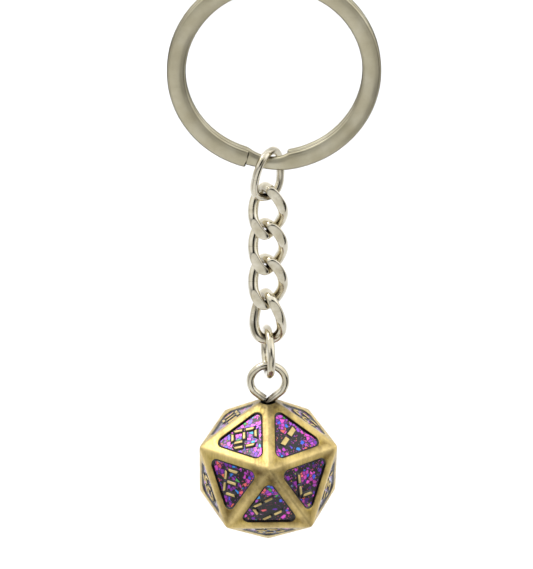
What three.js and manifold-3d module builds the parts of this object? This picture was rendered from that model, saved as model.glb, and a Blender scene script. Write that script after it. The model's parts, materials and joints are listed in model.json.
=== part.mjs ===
// Keychain with a metal twenty-sided die: a split key ring, five twisted curb links, a small
// jump ring and a screw eye, which is set in the top corner of a die with resin-filled faces.
//
// Millimetres, +Z up. The origin is the inner top of the split ring, where the keychain hangs.
// The front is -Y: one corner of the die points that way.

import * as THREE from 'three';
import { ConvexGeometry } from 'three/addons/geometries/ConvexGeometry.js';
import { ParametricGeometry } from 'three/addons/geometries/ParametricGeometry.js';
import { mergeVertices } from 'three/addons/utils/BufferGeometryUtils.js';
import Module from 'manifold-3d';

const wasm = await Module();
wasm.setup();

// ---- driving dimensions ----

const acrossFaces = 20;        // die, from one flat face to the opposite one
const ridgeInset = 0.25;       // each face's outline is pulled in this far, to blunt the ridges
const pocketInset = 1.04;      // width of the metal border round each pocket
const pocketCorner = 1.0;      // corner radius of a pocket
const pocketDepth = 0.8;
const resinRecess = 0.12;      // the resin stops this far below the face
const resinGap = 0.08;         // between the resin and the metal round it

const strokeWidth = 0.4;       // one bar of a numeral
const boldWidth = 0.76;        // the bars of the single 1
const numeralHeight = 3.8;     // between the middles of the top and bottom bars
const numeralRise = 0.25;      // the numerals sit this far towards their upper corner
const barLean = 0.1;           // half of the slant at a bar's outer end
const flatBarSpace = 0.42;     // from a corner of a digit to the end of its flat bar
const postSpace = 0.28;        // from a corner of a digit to the end of its upright bar
const postFoot = 0.3;          // from the middle of a digit to the upright bar's other end
const underlineDrop = 0.62;    // from the bottom bar of a 6 or 9 to the line below it

const ringOuter = 16;          // split ring, outer radius
const ringWidth = 2.8;         // radial width of its flat wire
const ringLayer = 0.95;        // thickness of one turn
const ringTurnGap = 0.1;       // between the two turns
const neckWidth = 2.05;        // radial width left where the chain hangs
const neckLength = 6.2;        // length of the crossover between the two turns

const linkCount = 5;
const linkWire = 1.57;         // wire diameter of a curb link
const linkPitch = 5.94;
const linkHalfWidth = 2.27;    // of the wire's middle line, before the twist
const ovalPower = 2.5;         // 2 is an ellipse, and more is squarer
const linkSlab = 2.7;          // the twisted links are pressed flat to this thickness
const endLinkHalfWidth = 2.75; // the first link is a wider one of the fine wire
const endLinkHalfHeight = 3.76;
const endLinkLean = 5;         // degrees that its top leans to the right

const jumpRadius = 3.6;        // jump ring, middle line
const jumpTurn = 7.5;          // degrees that its front is turned to the right
const fineWire = 1.2;          // wire of the jump ring and of the screw eye
const eyeRadius = 2.75;        // screw eye, middle line
const eyeDrop = 3.5;           // from the eye's centre down to the top of the die
const eyeShank = 2.6;          // length of the wire below that turn
const eyeOpening = 35;         // degrees on each side of the bottom where the loop turns straight
const boreRadius = 1.1;        // the hole in the die that the shank goes into
const boreDepth = 3.4;
const topFlat = 0.9;           // the top corner is cut down by this much round the hole

const restGap = 0.08;          // between two pieces that hang on each other
const neckGap = 0.2;           // between the first link and the neck of the ring
const chainOffset = -0.9;      // the chain hangs this far to the left of the ring's centre

// ---- dimensions worked out from them ----

const golden = (1 + Math.sqrt(5)) / 2;
const dieEdge = acrossFaces * Math.sqrt(3) / golden ** 2;
const dieRadius = dieEdge * Math.sqrt(golden * Math.sqrt(5)) / 2;
const faceInradius = dieEdge / (2 * Math.sqrt(3));
const pocketInradius = faceInradius - pocketInset;

const ringInner = ringOuter - ringWidth;
const ringMiddle = ringOuter - ringWidth / 2;
const ringCentreZ = -ringInner;
const linkHalfHeight = (linkPitch + linkWire + restGap) / 2;
const neckInner = ringOuter - neckWidth;
const neckZ = ringCentreZ - Math.sqrt(neckInner ** 2 - chainOffset ** 2);
const endLinkZ = neckZ + fineWire / 2 + neckGap - endLinkHalfHeight;
const secondLinkTopZ = endLinkZ - endLinkHalfHeight + (fineWire + linkWire) / 2 + restGap;
const secondLinkZ = secondLinkTopZ - linkHalfHeight;
const lastLinkBottomZ = secondLinkZ - (linkCount - 2) * linkPitch - linkHalfHeight;
const jumpZ = lastLinkBottomZ + (linkWire + fineWire) / 2 + restGap - jumpRadius;
const eyeZ = jumpZ - jumpRadius + fineWire + restGap - eyeRadius;
const dieZ = eyeZ - eyeDrop - (dieRadius - topFlat);

// ---- materials ----

function metal(color, roughness) {
  return new THREE.MeshStandardMaterial({ color, roughness, metalness: 1 });
}

const antiqueBrass = () => metal(0xb09455, 0.38);
const brightNickel = () => metal(0xcfc8b8, 0.16);
const satinNickel = () => metal(0xb9b09c, 0.28);
const glitterResin = () => new THREE.MeshStandardMaterial({ color: 0x2b1540, roughness: 0.12, metalness: 0 });

// ---- joining and cutting ----

function solid(geometry) {
  const bare = geometry.clone();
  bare.deleteAttribute('normal');
  bare.deleteAttribute('uv');
  const merged = mergeVertices(bare, 1e-4);
  return new wasm.Manifold(new wasm.Mesh({
    numProp: 3,
    vertProperties: new Float32Array(merged.attributes.position.array),
    triVerts: new Uint32Array(merged.index.array),
  }));
}

function geometryOf(manifold) {
  const mesh = manifold.getMesh();
  const geometry = new THREE.BufferGeometry();
  geometry.setAttribute('position', new THREE.BufferAttribute(mesh.vertProperties, 3));
  geometry.setIndex(new THREE.BufferAttribute(mesh.triVerts, 1));
  geometry.computeVertexNormals();
  return geometry;
}

function named(name, geometry, material) {
  const mesh = new THREE.Mesh(geometry, material);
  mesh.name = name;
  return mesh;
}

// ---- split ring ----

// Two turns of flat wire. The front turn starts beside the neck, runs round clockwise, crosses
// to the back layer at the neck and runs round once more.
class SplitRingPath extends THREE.Curve {
  constructor(halfStep, neckAngle, neckHalfAngle) {
    super();
    this.halfStep = halfStep;
    this.neckAngle = neckAngle;
    this.neckHalfAngle = neckHalfAngle;
  }

  getPoint(t, target = new THREE.Vector3()) {
    const oneTurn = 2 * Math.PI - 2 * this.neckHalfAngle;
    const travelled = t * (2 * Math.PI + oneTurn);
    const angle = this.neckAngle - this.neckHalfAngle - travelled;
    const crossed = THREE.MathUtils.smoothstep(travelled, oneTurn, 2 * Math.PI);
    const depth = THREE.MathUtils.lerp(-this.halfStep, this.halfStep, crossed);
    return target.set(ringMiddle * Math.cos(angle), depth, ringMiddle * Math.sin(angle));
  }
}

function flatWireSection(thickness, width, bevel) {
  const x = thickness / 2;
  const y = width / 2;
  return new THREE.Shape([
    new THREE.Vector2(-x + bevel, -y),
    new THREE.Vector2(x - bevel, -y),
    new THREE.Vector2(x, -y + bevel),
    new THREE.Vector2(x, y - bevel),
    new THREE.Vector2(x - bevel, y),
    new THREE.Vector2(-x + bevel, y),
    new THREE.Vector2(-x, y - bevel),
    new THREE.Vector2(-x, -y + bevel),
  ]);
}

// A round bar across the ring, which wears the neck into the inside of its wire.
function neckCutter() {
  const halfChord = neckLength / 2;
  const sagitta = neckInner - Math.sqrt(ringInner ** 2 - halfChord ** 2);
  const radius = (halfChord ** 2 + sagitta ** 2) / (2 * sagitta);
  const cutter = new THREE.CylinderGeometry(radius, radius, 4 * ringLayer, 48);
  const distance = neckInner - radius;
  const angle = Math.asin(chainOffset / neckInner);
  cutter.translate(distance * Math.sin(angle), 0, -distance * Math.cos(angle));
  return solid(cutter);
}

function splitRing() {
  const neckAngle = -Math.PI / 2 + Math.asin(chainOffset / neckInner);
  const neckHalfAngle = Math.asin(neckLength / 2 / ringMiddle);
  const path = new SplitRingPath((ringLayer + ringTurnGap) / 2, neckAngle, neckHalfAngle);
  const wire = new THREE.ExtrudeGeometry(flatWireSection(ringLayer, ringWidth, 0.28), {
    extrudePath: path,
    steps: 116,
  });
  const mesh = named('split_ring', geometryOf(solid(wire).subtract(neckCutter())), satinNickel());
  mesh.position.z = ringCentreZ;
  return mesh;
}

// ---- curb links ----

// A closed round tube whose middle line is path(angle), a loop round the origin. The section's
// first direction points outwards from the origin, so the tube meets itself without a twist.
function closedTube(path, wireRadius, stepsRound, stepsAcross) {
  const centre = new THREE.Vector3();
  const ahead = new THREE.Vector3();
  const outward = new THREE.Vector3();
  const sideways = new THREE.Vector3();
  const small = 1e-4;
  const surface = (u, v, target) => {
    const angle = (u % 1) * 2 * Math.PI;
    const turn = (v % 1) * 2 * Math.PI;
    path(angle, centre);
    path(angle + small, ahead).sub(centre).normalize();
    outward.copy(centre).addScaledVector(ahead, -centre.dot(ahead)).normalize();
    sideways.crossVectors(outward, ahead);
    target.copy(centre)
      .addScaledVector(outward, wireRadius * Math.cos(turn))
      .addScaledVector(sideways, wireRadius * Math.sin(turn));
  };
  return new ParametricGeometry(surface, stepsRound, stepsAcross);
}

// A long rounded oval of wire that is twisted about its length, from bottomTurn to topTurn.
function twistedOval(halfWidth, halfHeight, bottomTurn, topTurn) {
  const bottom = THREE.MathUtils.degToRad(bottomTurn);
  const top = THREE.MathUtils.degToRad(topTurn);
  return (angle, target) => {
    const across = Math.cos(angle);
    const along = Math.sin(angle);
    const reach = (Math.abs(across / halfWidth) ** ovalPower
      + Math.abs(along / halfHeight) ** ovalPower) ** (-1 / ovalPower);
    const x = reach * across;
    const z = reach * along;
    const turn = THREE.MathUtils.mapLinear(z, -halfHeight, halfHeight, bottom, top);
    return target.set(x * Math.cos(turn), x * Math.sin(turn), z);
  };
}

// The first link, which takes the split ring. It is fine round wire and leans a little.
function endLink() {
  const oval = twistedOval(endLinkHalfWidth, endLinkHalfHeight, 34, 58);
  const wire = closedTube(oval, fineWire / 2, 36, 10);
  const mesh = named('curb_link_1', wire, brightNickel());
  mesh.rotation.y = THREE.MathUtils.degToRad(endLinkLean);
  mesh.position.set(chainOffset, 0, endLinkZ);
  return mesh;
}

// How far the bottom and top of links 2 to 5 are turned about their length, in degrees, and the
// thickness they are pressed to. The last one is opened and turned again to take the jump ring.
const linkShapes = [
  { bottom: 52, top: -62, slab: linkSlab },
  { bottom: 50, top: -50, slab: linkSlab },
  { bottom: 44, top: -50, slab: linkSlab },
  { bottom: 5, top: -68, slab: 1.6 * linkSlab },
];

function curbLink({ bottom, top, slab }, index) {
  const oval = twistedOval(linkHalfWidth, linkHalfHeight, bottom, top);
  const wire = closedTube(oval, linkWire / 2, 36, 10);
  const press = new THREE.BoxGeometry(4 * linkHalfWidth, slab, 4 * linkHalfHeight);
  const pressed = solid(wire).intersect(solid(press));
  const mesh = named(`curb_link_${index + 2}`, geometryOf(pressed), brightNickel());
  mesh.position.set(chainOffset, 0, secondLinkZ - index * linkPitch);
  return mesh;
}

// ---- jump ring and screw eye ----

function jumpRing() {
  const ring = new THREE.TorusGeometry(jumpRadius, fineWire / 2, 10, 32);
  ring.rotateY(Math.PI / 2);
  const mesh = named('jump_ring', ring, brightNickel());
  mesh.rotation.z = THREE.MathUtils.degToRad(jumpTurn);
  mesh.position.set(chainOffset, 0, jumpZ);
  return mesh;
}

// The middle line of the eye's wire: from its cut end, up round the loop, and down into the die.
function eyePath() {
  const loopPoints = 13;
  const points = [new THREE.Vector3(-fineWire / 2, 0, -eyeDrop + 0.5)];
  for (let i = 0; i < loopPoints; i++) {
    const degrees = THREE.MathUtils.lerp(270 - eyeOpening, -90 + eyeOpening, i / (loopPoints - 1));
    const angle = THREE.MathUtils.degToRad(degrees);
    points.push(new THREE.Vector3(eyeRadius * Math.cos(angle), 0, eyeRadius * Math.sin(angle)));
  }
  points.push(new THREE.Vector3(0.32, 0, -eyeDrop + 0.15));
  points.push(new THREE.Vector3(0, 0, -eyeDrop - 0.4));
  points.push(new THREE.Vector3(0, 0, -eyeDrop - eyeShank));
  return new THREE.CatmullRomCurve3(points);
}

function screwEye() {
  const section = new THREE.Shape().absarc(0, 0, fineWire / 2, 0, 2 * Math.PI);
  const wire = new THREE.ExtrudeGeometry(section, { extrudePath: eyePath(), steps: 46, curveSegments: 5 });
  const mesh = named('screw_eye', wire, brightNickel());
  mesh.position.set(chainOffset, 0, eyeZ);
  return mesh;
}

// ---- numerals, drawn as seven bars ----

// One bar from (x1, y1) to (x2, y2). Its side towards (inX, inY) is shorter by lean at each end.
function bar([x1, y1], [x2, y2], [inX, inY], [lean1, lean2], halfWidth) {
  const length = Math.hypot(x2 - x1, y2 - y1);
  const alongX = (x2 - x1) / length;
  const alongY = (y2 - y1) / length;
  const corner = (x, y, side, along) => new THREE.Vector2(
    x + side * inX * halfWidth + along * alongX,
    y + side * inY * halfWidth + along * alongY,
  );
  return [
    corner(x1, y1, -1, -lean1),
    corner(x2, y2, -1, lean2),
    corner(x2, y2, 1, -lean2),
    corner(x1, y1, 1, lean1),
  ];
}

// The bars of a digit as functions of its half width w, half height h and half stroke s.
const level = [barLean, barLean];
const fromOuterEnd = [barLean, 0];
const toOuterEnd = [0, barLean];
const square = [0, 0];
const segments = {
  a: (w, h, s) => bar([-w + flatBarSpace, h], [w - flatBarSpace, h], [0, -1], level, s),
  b: (w, h, s) => bar([w, h - postSpace], [w, postFoot], [-1, 0], fromOuterEnd, s),
  c: (w, h, s) => bar([w, -postFoot], [w, -h + postSpace], [-1, 0], toOuterEnd, s),
  d: (w, h, s) => bar([-w + flatBarSpace, -h], [w - flatBarSpace, -h], [0, 1], level, s),
  e: (w, h, s) => bar([-w, -postFoot], [-w, -h + postSpace], [1, 0], toOuterEnd, s),
  f: (w, h, s) => bar([-w, h - postSpace], [-w, postFoot], [1, 0], fromOuterEnd, s),
  g: (w, h, s) => bar([-w + flatBarSpace, 0], [w - flatBarSpace, 0], [0, 1], square, s),
};

const digitBars = {
  0: 'abcdef',
  1: 'bc',
  2: 'abged',
  3: 'abcdg',
  4: 'bcfg',
  5: 'acdfg',
  6: 'acdefg',
  7: 'abc',
  8: 'abcdefg',
  9: 'abcdfg',
};

// The cell of each digit in a number: its middle x, half width w, half height h and half stroke s.
function digitCells(number) {
  const s = strokeWidth / 2;
  const h = numeralHeight / 2;
  if (number === 1) return [{ x: 0.35, w: 0.1, h: h + 0.3, s: boldWidth / 2 }];
  if (number === 11) return [-0.85, 0.85].map((x) => ({ x, w: 0, h, s }));
  if (number === 20) return [-1, 1].map((x) => ({ x, w: 0.62, h: h - 0.3, s }));
  if (number > 9) return [{ x: -1.5, w: 0, h, s }, { x: 0.42, w: 1, h, s }];
  return [{ x: 0, w: 1.22, h, s }];
}

// Every bar of a number, as a polygon on its face. grow widens each bar on all sides.
function numeralBars(number, grow) {
  const polygons = digitCells(number).flatMap(({ x, w, h, s }, i) => {
    const letters = [...digitBars[String(number)[i]]];
    const shift = new THREE.Vector2(x, numeralRise);
    return letters.map((letter) => segments[letter](w, h, s).map((corner) => corner.add(shift)));
  });
  if (number === 6 || number === 9) {
    const [{ w, h, s }] = digitCells(number);
    const y = numeralRise - h - underlineDrop;
    polygons.push(bar([-w + flatBarSpace, y], [w - flatBarSpace, y], [0, 1], square, 0.75 * s));
  }
  return polygons.map((polygon) => widened(polygon, grow));
}

// A convex polygon with each corner moved out, so that its sides move out by grow.
function widened(corners, grow) {
  return corners.map((corner, i) => {
    const before = corners[(i + corners.length - 1) % corners.length];
    const after = corners[(i + 1) % corners.length];
    const arriving = corner.clone().sub(before).normalize();
    const leaving = after.clone().sub(corner).normalize();
    const reach = grow / Math.abs(arriving.cross(leaving));
    const direction = arriving.sub(leaving);
    return corner.clone().addScaledVector(direction, reach);
  });
}

// ---- die ----

// The top and bottom corners, and two belts of five that are turned by 36 degrees.
function dieCorners() {
  const corners = { top: new THREE.Vector3(0, 0, dieRadius), bottom: new THREE.Vector3(0, 0, -dieRadius) };
  const beltZ = dieRadius / Math.sqrt(5);
  const beltRadius = 2 * beltZ;
  for (let i = 0; i < 5; i++) {
    const upper = i * 2 * Math.PI / 5;
    const lower = upper + Math.PI / 5;
    corners[`u${i}`] = new THREE.Vector3(beltRadius * Math.sin(upper), -beltRadius * Math.cos(upper), beltZ);
    corners[`d${i}`] = new THREE.Vector3(beltRadius * Math.sin(lower), -beltRadius * Math.cos(lower), -beltZ);
  }
  return corners;
}

// The three corners of each number's face. The numeral's top points to the first one, and
// opposite faces add up to 21.
const faces = {
  1: ['u0', 'top', 'u1'],
  2: ['bottom', 'd1', 'd2'],
  3: ['d4', 'u0', 'u4'],
  4: ['d2', 'u3', 'u2'],
  5: ['d1', 'u2', 'u1'],
  6: ['d3', 'u3', 'u4'],
  7: ['d0', 'u0', 'u1'],
  8: ['bottom', 'd3', 'd4'],
  9: ['u3', 'top', 'u4'],
  10: ['d0', 'bottom', 'd4'],
  11: ['top', 'u2', 'u3'],
  12: ['d0', 'bottom', 'd1'],
  13: ['u1', 'top', 'u2'],
  14: ['u3', 'd2', 'd3'],
  15: ['u1', 'd0', 'd1'],
  16: ['u4', 'd4', 'd3'],
  17: ['d4', 'u0', 'd0'],
  18: ['u2', 'd2', 'd1'],
  19: ['u4', 'top', 'u0'],
  20: ['d3', 'bottom', 'd2'],
};

const corners = dieCorners();

// The place of a face: its centre, with Z outwards and Y towards the numeral's top.
function faceMatrix(number) {
  const [first, second, third] = faces[number].map((name) => corners[name]);
  const centre = first.clone().add(second).add(third).divideScalar(3);
  const outward = centre.clone().normalize();
  const up = first.clone().sub(centre).normalize();
  const right = up.clone().cross(outward);
  return new THREE.Matrix4().makeBasis(right, up, outward).setPosition(centre);
}

function roundedTriangle(inradius, cornerRadius) {
  const shape = new THREE.Shape();
  for (let i = 0; i < 3; i++) {
    const direction = Math.PI / 2 + i * 2 * Math.PI / 3;
    const distance = 2 * (inradius - cornerRadius);
    shape.absarc(
      distance * Math.cos(direction),
      distance * Math.sin(direction),
      cornerRadius,
      direction - Math.PI / 3,
      direction + Math.PI / 3,
    );
  }
  return shape;
}

function extruded(shapes, from, to) {
  const options = { depth: to - from, bevelEnabled: false, curveSegments: 2 };
  return solid(new THREE.ExtrudeGeometry(shapes, options).translate(0, 0, from));
}

// A rounded triangle with the numeral left out, between two heights measured from the face.
function pocketSlab(number, inset, from, to) {
  const outline = roundedTriangle(pocketInradius - inset, pocketCorner - inset);
  const bars = numeralBars(number, inset).map((polygon) => new THREE.Shape(polygon));
  return extruded(outline, from, to).subtract(extruded(bars, from - 1, to + 1));
}

// The icosahedron with every ridge and corner blunted: the hull of its pulled-in faces.
function bluntIcosahedron() {
  const points = Object.values(faces).flatMap((names) => {
    const triangle = names.map((name) => corners[name]);
    const centre = new THREE.Vector3();
    triangle.forEach((corner) => centre.addScaledVector(corner, 1 / 3));
    return triangle.map((corner) => corner.clone().lerp(centre, ridgeInset / faceInradius));
  });
  return solid(new ConvexGeometry(points));
}

// A vertical round tool whose lower end is at height bottom.
function topCutter(radius, bottom) {
  const height = dieRadius;
  const tool = new THREE.CylinderGeometry(radius, radius, height, 20);
  tool.rotateX(Math.PI / 2);
  return solid(tool.translate(0, 0, bottom + height / 2));
}

function dieBody() {
  let casting = bluntIcosahedron();
  for (const number of Object.keys(faces).map(Number)) {
    const pocket = pocketSlab(number, 0, -pocketDepth, pocketDepth);
    casting = casting.subtract(pocket.transform(faceMatrix(number).elements));
  }
  const flatTop = dieRadius - topFlat;
  casting = casting.subtract(topCutter(3 * boreRadius, flatTop));
  casting = casting.subtract(topCutter(boreRadius, flatTop - boreDepth));
  return named('die_body', geometryOf(casting), antiqueBrass());
}

function inlay(number) {
  const slab = pocketSlab(number, resinGap, -pocketDepth + resinGap, -resinRecess);
  const mesh = named(`inlay_${String(number).padStart(2, '0')}`, geometryOf(slab), glitterResin());
  faceMatrix(number).decompose(mesh.position, mesh.quaternion, mesh.scale);
  return mesh;
}

function die() {
  const group = new THREE.Group();
  group.add(dieBody());
  for (const number of Object.keys(faces).map(Number)) {
    group.add(inlay(number));
  }
  group.position.set(chainOffset, 0, dieZ);
  return group;
}

// ---- the whole keychain ----

const keychain = new THREE.Group();
keychain.add(splitRing(), endLink(), ...linkShapes.map(curbLink));
keychain.add(jumpRing(), screwEye(), die());

export default keychain;
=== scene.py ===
"""The looks of a keychain with a metal twenty-sided die, built round its CAD frame.

The keychain hangs from the inner top of its split ring, which is the origin. The front is -Y.
Shapes are worked out in millimetres and turned into metres when a mesh is made.
"""

import json
import math

import bmesh
import bpy
from mathutils import Matrix, Vector
from mathutils.bvhtree import BVHTree


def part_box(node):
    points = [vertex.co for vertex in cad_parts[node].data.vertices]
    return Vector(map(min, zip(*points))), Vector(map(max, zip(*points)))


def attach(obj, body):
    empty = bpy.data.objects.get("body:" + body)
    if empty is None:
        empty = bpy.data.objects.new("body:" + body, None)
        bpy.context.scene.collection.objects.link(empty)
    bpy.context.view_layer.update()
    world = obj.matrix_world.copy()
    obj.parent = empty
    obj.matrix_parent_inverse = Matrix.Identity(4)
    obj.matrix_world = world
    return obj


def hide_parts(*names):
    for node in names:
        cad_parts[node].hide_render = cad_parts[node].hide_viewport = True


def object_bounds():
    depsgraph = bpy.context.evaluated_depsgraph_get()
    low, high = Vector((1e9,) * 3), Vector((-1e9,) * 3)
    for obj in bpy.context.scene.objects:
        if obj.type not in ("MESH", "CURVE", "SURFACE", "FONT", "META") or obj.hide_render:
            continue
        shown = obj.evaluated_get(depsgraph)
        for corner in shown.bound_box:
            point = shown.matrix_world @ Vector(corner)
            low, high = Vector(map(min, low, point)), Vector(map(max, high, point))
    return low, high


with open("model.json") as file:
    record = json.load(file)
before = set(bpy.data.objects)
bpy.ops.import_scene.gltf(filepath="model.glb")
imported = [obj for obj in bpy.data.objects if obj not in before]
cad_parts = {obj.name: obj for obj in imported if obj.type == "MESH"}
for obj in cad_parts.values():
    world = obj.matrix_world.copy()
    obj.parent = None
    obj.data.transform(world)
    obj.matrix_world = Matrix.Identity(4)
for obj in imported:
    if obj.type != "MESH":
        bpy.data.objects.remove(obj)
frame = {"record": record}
cad_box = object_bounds()

MM = 0.001
PHI = (1 + math.sqrt(5)) / 2


# ---- what the frame says ----

def box_mm(node):
    low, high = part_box(node)
    return low / MM, high / MM


def middle_mm(node):
    low, high = box_mm(node)
    return (low + high) / 2


def size_mm(node):
    low, high = box_mm(node)
    return high - low


def mount_mm(name):
    mount = next(m for m in frame["record"]["mounts"] if m["name"] == name)
    return Vector(mount["pos_m"]) / MM, Vector(mount["axis"])


DIE_CENTRE = (middle_mm("inlay_04") + middle_mm("inlay_17")) / 2
REST_POINT, REST_AXIS = mount_mm("rest_face")
ACROSS_FACES = 2 * (REST_POINT - DIE_CENTRE).dot(REST_AXIS)
DIE_EDGE = ACROSS_FACES * math.sqrt(3) / PHI**2
DIE_RADIUS = DIE_EDGE * math.sqrt(PHI * math.sqrt(5)) / 2
FACE_INRADIUS = DIE_EDGE / (2 * math.sqrt(3))
FACE_HEIGHT = ACROSS_FACES / 2

RING_OUTER = size_mm("split_ring").x / 2
RING_CENTRE = Vector((0, 0, box_mm("split_ring")[1].z - RING_OUTER))
RING_INNER = -RING_CENTRE.z
RING_LAYER = 0.475 * size_mm("split_ring").y
RING_STEP = size_mm("split_ring").y - RING_LAYER
CHAIN_X = middle_mm("jump_ring").x

# ---- the finer sizes, in millimetres and degrees ----

RIDGE_RADIUS = 0.7       # the ridges and corners of the die are rounded by tumbling
POCKET_INRADIUS = FACE_INRADIUS - 1.04
POCKET_CORNER = 1.0
POCKET_DEPTH = 0.8
POCKET_RIM = 0.1         # radius of the soft rim round a pocket
RESIN_LEVEL = -0.26      # the resin stops this far below a face
RESIN_GAP = 0.01         # between the resin and the pocket's wall
RESIN_CLIMB = 0.03       # how far it climbs up the wall
RESIN_WAVE = 0.012       # height of the slight waves in its surface
LACQUER_AND_SHADOW = 0.3            # width of the black lacquer and painted shadow at the foot of every wall
LACQUER_AND_SHADOW_SINK = 0.1       # how far the black goes on below the resin's surface
TOP_FLAT = 0.9           # the top corner is cut down by this much
BORE_RADIUS = 1.1
BORE_DEPTH = 3.4
BORE_MOUTH = 0.1         # how far the bore's worn mouth opens out

STROKE = 0.4
BOLD_STROKE = 0.76
NUMERAL_HEIGHT = 3.8
NUMERAL_RISE = 0.25      # above the middle of the face
BAR_LEAN = 0.1           # a bar's inner side is shorter by this at an end, and its outer side longer
FLAT_BAR_SPACE = 0.42    # from the end of a flat bar to the line of the upright ones
POST_SPACE = 0.28        # from the end of an upright bar to the line of the flat ones
POST_FOOT = 0.3          # from an upright bar to the digit's middle height
UNDERLINE_DROP = 0.62
BAR_BEVEL = 0.07
BAR_ROOT = 0.05          # how far a bar's foot is sunk in the pocket's floor

NECK_WIDTH = 2.05        # of the ring's wire where it narrows for the first link
NECK_LENGTH = 6.2
NECK_SOFTNESS = 0.06     # how rounded the neck's two ends are
RING_BEVEL = 0.5         # radius of the rounded edges of the ring's flat wire
RING_CROWN = 0.12        # how much the middle of the wire's faces stands out
RING_CHAMFER = 0.2       # of the cut ends
LINK_WIRE = 1.57
LINK_HALF_WIDTH = 2.27
OVAL_POWER = 2.5
PRESS_DEPTH = 0.2        # how far inside a link's depth its pressed facets begin
PRESS_SOFTNESS = 0.06    # how rounded the edge of a pressed facet is
PRESS_DOME = 0.25        # how much of its roundness a pressed facet keeps
FINE_WIRE = 1.2
END_LINK_HALF_WIDTH = 2.75
END_LINK_LEAN = 5
JUMP_TURN = 7.5          # about the vertical
JUMP_SEAM = 200          # where the jump ring's ends meet, from its front and over its top
SEAM = 0.05              # the wire's two ends stop this far apart
WIRE_BEVEL = 0.12        # of a round wire's cut ends, as a share of its radius
WIRE_BULGE = 0.048       # how far a domed end stands out, also as a share of its radius
GRIME_AND_SHADE_REACH = 1.5        # grime and painted shade fade out this far from a point where another piece hangs
EYE_OPENING = 35         # half the angle of the gap at the foot of the eye's loop
EYE_DROP = 3.5           # from the middle of the loop to the die
EYE_SHANK = 2.6


# ---- meshes ----

def finish_mesh(name, shape, materials, body, replaced, sharp_angle=38):
    """Makes an object in metres from a bmesh in millimetres, and ties it to the frame."""
    bmesh.ops.scale(shape, vec=(MM, MM, MM), verts=shape.verts)
    mesh = bpy.data.meshes.new(name)
    shape.to_mesh(mesh)
    shape.free()
    mesh.shade_smooth()
    mesh.set_sharp_from_angle(angle=math.radians(sharp_angle))
    for material in materials:
        mesh.materials.append(material)
    piece = bpy.data.objects.new(name, mesh)
    bpy.context.scene.collection.objects.link(piece)
    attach(piece, body)
    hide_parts(*replaced)
    return piece


def add_strip(shape, first, second, material_index=0):
    """Joins two closed loops of vertices with quads."""
    count = len(first)
    for i in range(count):
        j = (i + 1) % count
        face = shape.faces.new((first[i], first[j], second[j], second[i]))
        face.material_index = material_index


def add_rows(shape, loops, material_index=0):
    """Joins loops of points with quads, and gives back the rows of their vertices."""
    rows = [[shape.verts.new(point) for point in loop] for loop in loops]
    for first, second in zip(rows, rows[1:]):
        add_strip(shape, first, second, material_index)
    return rows


def add_loops(shape, loops, closed=False, material_index=0):
    """Joins loops of points into a tube. Open tubes are capped at both ends."""
    rows = add_rows(shape, loops, material_index)
    if closed:
        add_strip(shape, rows[-1], rows[0], material_index)
        return
    for row in (list(reversed(rows[0])), rows[-1]):
        cap = shape.faces.new(row)
        cap.material_index = material_index


def add_fan(shape, loop, centre):
    """Closes a loop of vertices with triangles to a point."""
    tip = shape.verts.new(centre)
    for i, vertex in enumerate(loop):
        shape.faces.new((vertex, loop[(i + 1) % len(loop)], tip))


def outward(shape):
    bmesh.ops.recalc_face_normals(shape, faces=shape.faces)


def wire_frame(points, i, across):
    """The two directions across a wire at its i-th point, the first one nearest to across."""
    before = points[max(i - 1, 0)]
    after = points[min(i + 1, len(points) - 1)]
    ahead = (after - before).normalized()
    first = (across - ahead * across.dot(ahead)).normalized()
    return first, ahead.cross(first)


def cut_rim(loop, end, before, radius):
    """The narrower rim of a wire's cut end at a point, made from a loop round the wire."""
    tip = end + (end - before).normalized() * WIRE_BULGE * radius
    return [tip + (point - end) * (1 - WIRE_BEVEL) for point in loop]


def round_wire(points, radius, across_at, sides=36):
    """The loops round a wire. Its first end is domed and its last one hollow, so they stay apart."""
    loops = []
    for i, point in enumerate(points):
        first, second = wire_frame(points, i, across_at(point))
        loop = []
        for k in range(sides):
            turn = 2 * math.pi * k / sides
            loop.append(point + radius * (first * math.cos(turn) + second * math.sin(turn)))
        loops.append(loop)
    domed = cut_rim(loops[0], points[0], points[1], radius)
    hollow = cut_rim(loops[-2], points[-1], points[-2], radius)
    return [domed, *loops, hollow]


# ---- split ring ----

def soft_max(a, b, softness):
    """The larger of two values, with a rounded change from one to the other."""
    return softness * math.log(math.exp(a / softness) + math.exp(b / softness))


def neck_reach(offset):
    """The inner radius of the ring's wire at an angle from the middle of the neck."""
    neck_inner = RING_OUTER - NECK_WIDTH
    half_chord = NECK_LENGTH / 2
    sagitta = neck_inner - math.sqrt(RING_INNER**2 - half_chord**2)
    radius = (half_chord**2 + sagitta**2) / (2 * sagitta)
    distance = neck_inner - radius
    inside = radius**2 - (distance * math.sin(offset)) ** 2
    if inside <= 0 or math.cos(offset) < 0:
        return RING_INNER
    return soft_max(RING_INNER, distance * math.cos(offset) + math.sqrt(inside), NECK_SOFTNESS)


def flat_wire_section(inner, outer, thickness, inset):
    """A rounded rectangle with crowned faces, as (radius, depth) pairs pulled in by inset."""
    arc_steps = 6
    crown_steps = 8
    half = thickness / 2 - inset - RING_CROWN
    middle = (inner + outer) / 2
    flat = (outer - inner) / 2 - inset - RING_BEVEL
    corners = [(1, 1, 0), (-1, 1, 90), (-1, -1, 180), (1, -1, 270)]
    pairs = []
    for side, face, start in corners:
        for k in range(arc_steps + 1):
            turn = math.radians(start + 90 * k / arc_steps)
            across = middle + side * flat + RING_BEVEL * math.cos(turn)
            pairs.append((across, face * (half - RING_BEVEL) + RING_BEVEL * math.sin(turn)))
        if side == face:
            for k in range(1, crown_steps):
                share = 1 - 2 * k / crown_steps
                crown = RING_CROWN * (1 - share**2)
                pairs.append((middle + side * share * flat, face * (half + crown)))
    return pairs


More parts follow.
